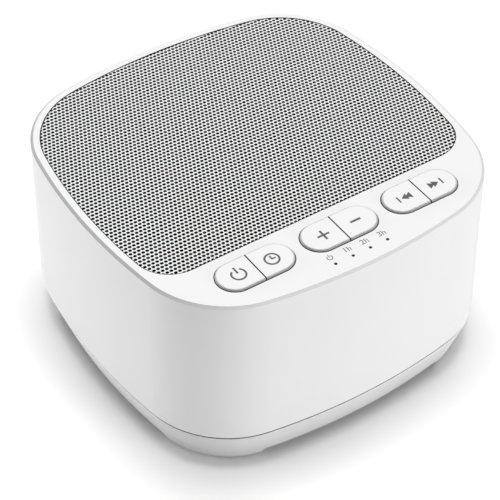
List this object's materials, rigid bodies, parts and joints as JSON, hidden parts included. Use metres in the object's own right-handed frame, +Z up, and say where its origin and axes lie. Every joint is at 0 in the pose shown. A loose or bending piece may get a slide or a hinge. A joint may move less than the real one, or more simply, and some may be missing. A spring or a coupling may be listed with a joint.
{
  "type": "white noise sound machine",
  "caption": "Compact bedside sound machine: bulged-square plastic housing, perforated steel speaker grille in its top, push keys in pill openings in front, tapered skirt on feet.",
  "frame": {"origin": "centre of the footprint, on the table", "axes": "+X to the user's right, +Y to the back, +Z up; the keys are at the front, towards -Y"},
  "size_m": [0.1022, 0.101, 0.0576],
  "materials": {
    "housing_white": "fine matte moulded ABS",
    "cover_white": "fine matte moulded ABS",
    "key_white": "matte moulded ABS with grey printed symbols",
    "grille_steel": "perforated steel, white powder coat",
    "cloth_black": "thin woven dust cloth",
    "pad_rubber": "soft grey rubber",
    "screw_steel": "zinc plated",
    "plunger_plastic": "black nylon",
    "switch_steel": "plated cover on a black body",
    "board_green": "glass-epoxy laminate with green solder mask",
    "pin_dark": "dark tinted light pipe",
    "led_ivory": "LED package",
    "gasket_foam": "closed-cell foam",
    "frame_steel": "pressed steel, black",
    "surround_rubber": "thin rubber half roll",
    "cone_paper": "pressed black paper",
    "cap_paper": "pressed black paper dome",
    "coil_copper": "enamelled copper wire on a former",
    "spider_cloth": "resin-dipped corrugated cloth",
    "plated_steel": "zinc plated steel",
    "ferrite": "sintered ferrite",
    "strip_laminate": "phenolic laminate with tinned tags",
    "chip_black": "moulded epoxy package",
    "can_aluminium": "bright can",
    "socket_nylon": "natural nylon",
    "inlet_steel": "nickel plated shell"
  },
  "bodies": {
    "base": {"upper_housing": "housing_white", "bottom_cover": "cover_white", "foot_pads": "pad_rubber", "housing_screws": "screw_steel", "speaker_grille": "grille_steel", "dust_cloth": "cloth_black", "tact_switches": "switch_steel", "key_board": "board_green", "key_board_screws": "screw_steel", "indicator_pins": "pin_dark", "status_leds": "led_ivory", "speaker_gasket": "gasket_foam", "speaker_frame": "frame_steel", "speaker_surround": "surround_rubber", "speaker_cone": "cone_paper", "speaker_dust_cap": "cap_paper", "voice_coil": "coil_copper", "speaker_spider": "spider_cloth", "magnet_top_plate": "plated_steel", "speaker_magnet": "ferrite", "magnet_yoke": "plated_steel", "speaker_terminals": "strip_laminate", "speaker_screws": "screw_steel", "main_board": "board_green", "main_board_screws": "screw_steel", "main_chips": "chip_black", "capacitors": "can_aluminium", "lead_sockets": "socket_nylon", "usb_inlet": "inlet_steel"},
    "power_key": {"key_power": "key_white", "plunger_power": "plunger_plastic"},
    "timer_key": {"key_timer": "key_white", "plunger_timer": "plunger_plastic"},
    "volume_up_key": {"key_volume_up": "key_white", "plunger_volume_up": "plunger_plastic"},
    "volume_down_key": {"key_volume_down": "key_white", "plunger_volume_down": "plunger_plastic"},
    "previous_key": {"key_previous": "key_white", "plunger_previous": "plunger_plastic"},
    "next_key": {"key_next": "key_white", "plunger_next": "plunger_plastic"}
  },
  "joints": [
    {"name": "power_press", "type": "slide", "parent": "base", "child": "power_key", "axis": [0, 0, -1], "range_m": [0, 0.0005], "stiffness_N_per_m": 1500, "springref_m": -0.0002},
    {"name": "timer_press", "type": "slide", "parent": "base", "child": "timer_key", "axis": [0, 0, -1], "range_m": [0, 0.0005], "stiffness_N_per_m": 1500, "springref_m": -0.0002},
    {"name": "volume_up_press", "type": "slide", "parent": "base", "child": "volume_up_key", "axis": [0, 0, -1], "range_m": [0, 0.0005], "stiffness_N_per_m": 1500, "springref_m": -0.0002},
    {"name": "volume_down_press", "type": "slide", "parent": "base", "child": "volume_down_key", "axis": [0, 0, -1], "range_m": [0, 0.0005], "stiffness_N_per_m": 1500, "springref_m": -0.0002},
    {"name": "previous_press", "type": "slide", "parent": "base", "child": "previous_key", "axis": [0, 0, -1], "range_m": [0, 0.0005], "stiffness_N_per_m": 1500, "springref_m": -0.0002},
    {"name": "next_press", "type": "slide", "parent": "base", "child": "next_key", "axis": [0, 0, -1], "range_m": [0, 0.0005], "stiffness_N_per_m": 1500, "springref_m": -0.0002}
  ]
}
